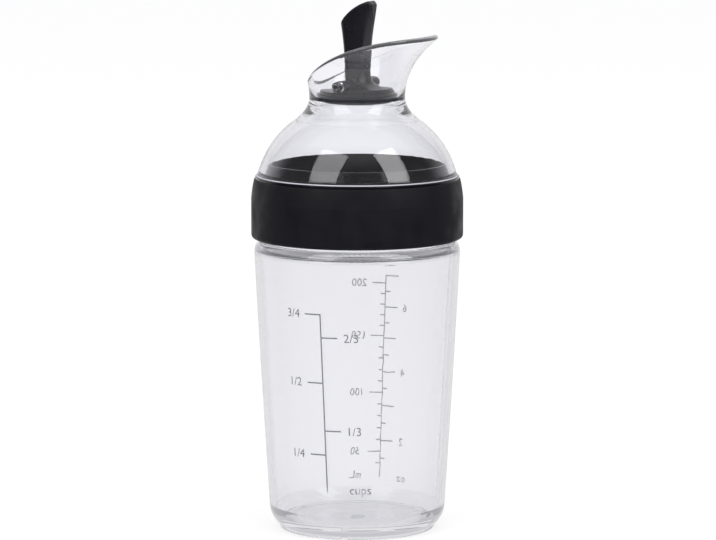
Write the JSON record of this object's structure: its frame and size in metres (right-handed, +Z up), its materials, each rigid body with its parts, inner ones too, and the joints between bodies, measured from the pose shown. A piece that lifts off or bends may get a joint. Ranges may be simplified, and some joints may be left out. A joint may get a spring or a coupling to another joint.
{
  "type": "salad dressing shaker bottle",
  "caption": "Clear tapered shaker bottle with a screw-on gripped collar, clear domed lid, trumpet pour spout and a tilting lever that lifts the stopper out of the throat.",
  "frame": {"origin": "centre of the foot's lower face, on the bottle's axis", "axes": "+Z up along the bottle's axis, +X towards the spout's lip, +Y along the lever's hinge pin"},
  "size_m": [0.0676, 0.0676, 0.1692],
  "materials": {
    "clear_plastic": "clear moulded",
    "black_plastic": "satin moulded",
    "soft_grip": "matt soft-touch",
    "silicone": "smooth moulded",
    "seal_silicone": "smooth moulded",
    "steel": "drawn"
  },
  "bodies": {
    "bottle": {"bottle": "clear_plastic"},
    "seal": {"lid_seal": "seal_silicone"},
    "lid": {"collar_core": "black_plastic", "grip_band": "soft_grip", "pour_spout": "clear_plastic", "hinge_pin": "steel"},
    "stopper": {"lever": "black_plastic", "stopper_plate": "black_plastic", "stopper_seal": "silicone"}
  },
  "joints": [
    {"name": "lid_rise", "type": "slide", "parent": "bottle", "child": "seal", "axis": [0, 0, 1], "range_m": [0, 0.005]},
    {"name": "lid_turn", "type": "hinge", "parent": "seal", "child": "lid", "pos_m": [0, 0, 0.1036], "axis": [0, 0, 1], "range_deg": [0, 360]},
    {"name": "lever_tilt", "type": "hinge", "parent": "lid", "child": "stopper", "pos_m": [0, 0, 0.1429], "axis": [0, -1, 0], "range_deg": [0, 66]}
  ],
  "couplings": [
    {"joint": "lid_rise", "follows": "lid_turn", "m_per_rad": 0.00079577}
  ]
}
